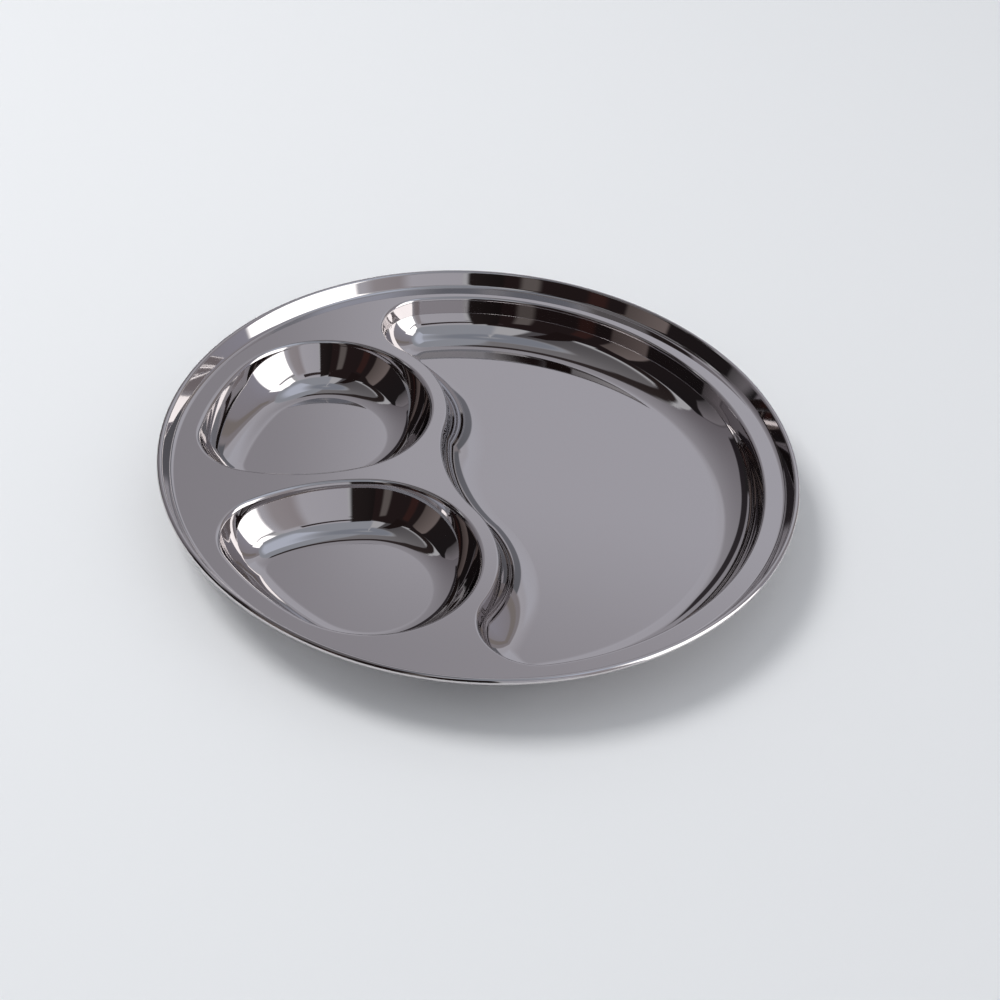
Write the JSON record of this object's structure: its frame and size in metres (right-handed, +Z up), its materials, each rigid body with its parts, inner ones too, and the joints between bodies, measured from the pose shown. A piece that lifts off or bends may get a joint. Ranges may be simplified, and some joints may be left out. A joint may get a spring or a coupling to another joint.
{
  "type": "thali plate",
  "caption": "Round divided serving plate pressed from polished sheet steel, with small rounded bowls beside a large main well and a raised rim that ends in a rolled bead.",
  "frame": {"origin": "centre of the round plate in the plane of the level undersides of the compartment floors, on which it stands", "axes": "+Z up, square to the deck; +X from the small bowls to the main well; the plate is symmetric about the XZ plane"},
  "size_m": [0.2999, 0.3, 0.0279],
  "materials": {
    "polished_sheet": "mirror polished"
  },
  "bodies": {
    "root": {"deck": "polished_sheet", "main_well_floor": "polished_sheet", "main_well_upper_outer_wall": "polished_sheet", "main_well_lower_outer_wall": "polished_sheet", "main_well_upper_end": "polished_sheet", "main_well_lower_end": "polished_sheet", "main_well_web_wall": "polished_sheet", "upper_bowl_floor": "polished_sheet", "upper_bowl_round_wall": "polished_sheet", "upper_bowl_corner_wall": "polished_sheet", "lower_bowl_floor": "polished_sheet", "lower_bowl_round_wall": "polished_sheet", "lower_bowl_corner_wall": "polished_sheet", "rim_wall": "polished_sheet", "rolled_bead": "polished_sheet"}
  },
  "joints": []
}
